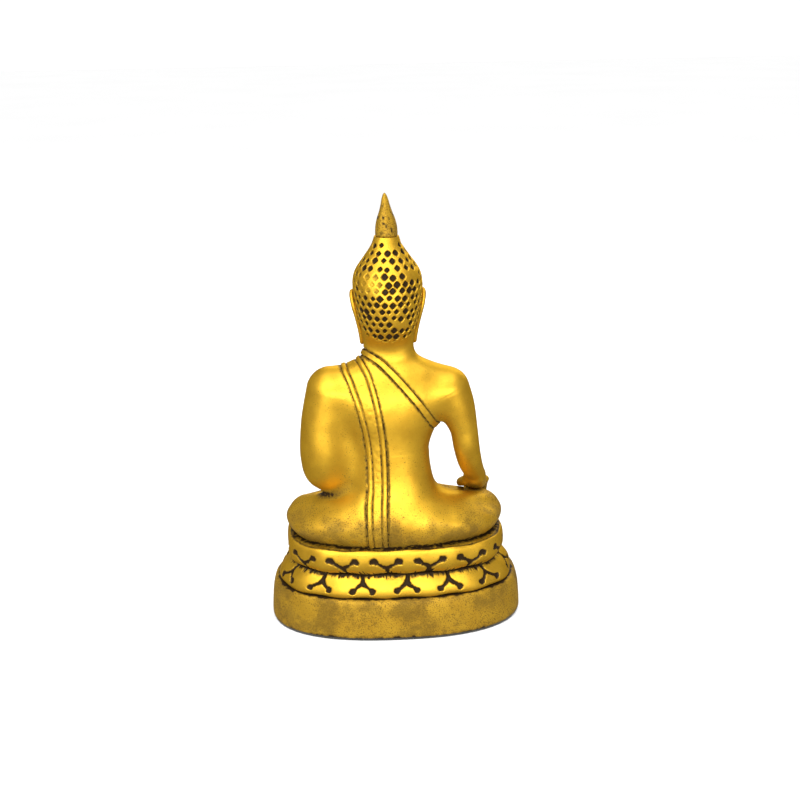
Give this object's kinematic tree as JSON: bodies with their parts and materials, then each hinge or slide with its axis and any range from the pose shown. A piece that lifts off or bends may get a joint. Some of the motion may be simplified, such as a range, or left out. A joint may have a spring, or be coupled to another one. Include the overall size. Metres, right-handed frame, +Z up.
{
  "type": "seated buddha statue",
  "caption": "Gilded seated Buddha statue in the earth-touching pose on a two-tier oval lotus throne, cast in sections and dowelled together.",
  "frame": {"origin": "centre of the footprint on the surface that the statue stands on", "axes": "+Z up; the figure faces -Y, and its own left side is +X"},
  "size_m": [0.1188, 0.068, 0.2],
  "materials": {
    "antique_gold": "cast resin under metallic gold paint, satin, with a dark brown antiquing wash left in every recess",
    "zinc_steel": "zinc-plated threaded rod and plain pins, hidden",
    "fibreboard": "raw brown hardboard, hidden",
    "base_felt": "dark needle felt"
  },
  "bodies": {
    "root": {"felt_pad": "base_felt", "bottom_plate": "fibreboard", "plinth": "antique_gold", "lower_lotus_tier": "antique_gold", "upper_lotus_tier": "antique_gold", "crossed_legs": "antique_gold", "torso": "antique_gold", "right_arm": "antique_gold", "left_arm": "antique_gold", "left_hand": "antique_gold", "sash_back": "antique_gold", "sash_front": "antique_gold", "robe_hem_back": "antique_gold", "robe_hem_front": "antique_gold", "head": "antique_gold", "hair_cap": "antique_gold", "flame_finial": "antique_gold", "left_ear": "antique_gold", "right_ear": "antique_gold", "tie_rod": "zinc_steel", "tie_washer": "zinc_steel", "tie_nut": "zinc_steel", "waist_pin": "zinc_steel", "neck_dowel": "zinc_steel", "right_shoulder_dowel": "zinc_steel", "left_shoulder_dowel": "zinc_steel", "elbow_pin": "zinc_steel", "finial_pin": "zinc_steel", "seat_pin_left": "zinc_steel", "seat_pin_right": "zinc_steel", "tier_pin_left": "zinc_steel", "tier_pin_right": "zinc_steel"}
  },
  "joints": []
}
